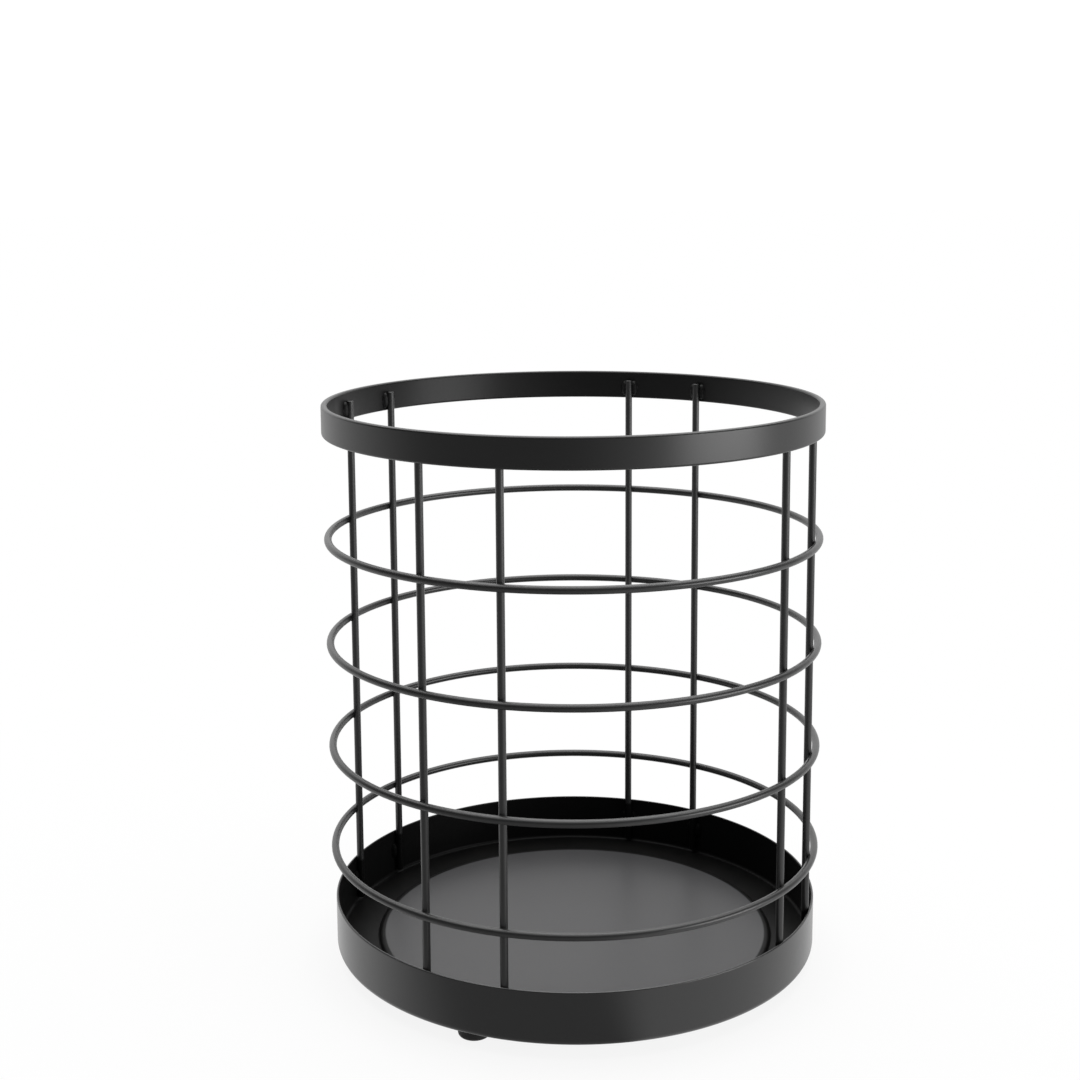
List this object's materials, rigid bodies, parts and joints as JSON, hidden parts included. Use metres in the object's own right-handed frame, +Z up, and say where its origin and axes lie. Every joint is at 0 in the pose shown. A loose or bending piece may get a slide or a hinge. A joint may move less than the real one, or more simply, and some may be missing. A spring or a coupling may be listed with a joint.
{
  "type": "utensil holder",
  "caption": "Round open wire utensil holder: paired uprights and hoops between a flat rim band and a shallow pressed tray on small rubber feet.",
  "frame": {"origin": "on the surface that the feet stand on, below the middle of the tray", "axes": "+Z up along the holder's axis; +X and +Y each point at the middle of a pair of uprights and a foot"},
  "size_m": [0.16, 0.16, 0.1831],
  "materials": {
    "band_coat": "satin black powder coat on steel strip",
    "tray_coat": "satin black powder coat on pressed sheet steel",
    "wire_coat": "satin black powder coat on round steel wire",
    "weld_coat": "satin black powder coat over small tack welds",
    "foot_rubber": "matt black moulded rubber"
  },
  "bodies": {
    "root": {"rim_band": "band_coat", "base_tray": "tray_coat", "hoop_1": "wire_coat", "hoop_2": "wire_coat", "hoop_3": "wire_coat", "hoop_4": "wire_coat", "upright_1": "wire_coat", "upright_2": "wire_coat", "upright_3": "wire_coat", "upright_4": "wire_coat", "upright_5": "wire_coat", "upright_6": "wire_coat", "upright_7": "wire_coat", "upright_8": "wire_coat", "foot_1": "foot_rubber", "foot_2": "foot_rubber", "foot_3": "foot_rubber", "foot_4": "foot_rubber", "rim_welds": "weld_coat", "tray_welds": "weld_coat"}
  },
  "joints": []
}
